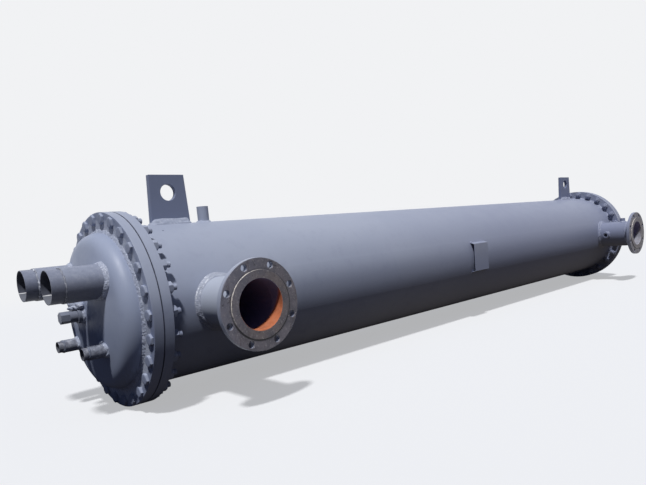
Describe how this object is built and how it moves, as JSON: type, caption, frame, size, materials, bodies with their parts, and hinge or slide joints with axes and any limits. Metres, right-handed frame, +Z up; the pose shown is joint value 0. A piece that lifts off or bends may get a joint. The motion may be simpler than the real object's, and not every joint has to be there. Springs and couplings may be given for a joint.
{
  "type": "shell and tube heat exchanger",
  "caption": "Horizontal shell and tube heat exchanger in blue-grey paint, with bolted dished heads, side nozzles, lifting lugs and pipes on one head.",
  "frame": {"origin": "centre of the near nozzle's raised face", "axes": "+X along the shell from the near head to the far head, -Y out of the nozzles, +Z up"},
  "size_m": [3.9933, 0.8275, 0.7775],
  "materials": {
    "body_paint": "satin blue-grey machine enamel over steel plate",
    "flange_steel": "bare turned steel, dark with a light oil film",
    "gasket": "matt black sheet gasket",
    "tube_metal": "dull drawn tube",
    "bare_plate": "mill plate"
  },
  "bodies": {
    "root": {"shell": "body_paint", "near_tubesheet": "body_paint", "far_tubesheet": "body_paint", "near_gasket": "gasket", "far_gasket": "gasket", "near_head_flange": "body_paint", "far_head_flange": "body_paint", "near_head_dish": "body_paint", "far_head_dish": "body_paint", "tubes": "tube_metal", "baffle_plates": "bare_plate", "near_nozzle_pipe": "body_paint", "near_nozzle_flange": "flange_steel", "far_nozzle_pipe": "body_paint", "far_nozzle_flange": "flange_steel", "far_nozzle_side_coupling": "body_paint", "far_nozzle_top_coupling": "body_paint", "near_lug": "body_paint", "far_lug": "body_paint", "vent_stub": "body_paint", "plate_bracket": "body_paint", "front_gas_pipe": "body_paint", "front_gas_tip": "body_paint", "back_gas_pipe": "body_paint", "back_gas_tip": "body_paint", "front_liquid_stub": "body_paint", "front_liquid_tip": "body_paint", "back_liquid_stub": "body_paint", "back_liquid_tip": "body_paint", "head_boss": "body_paint", "boss_plug": "body_paint"}
  },
  "joints": []
}
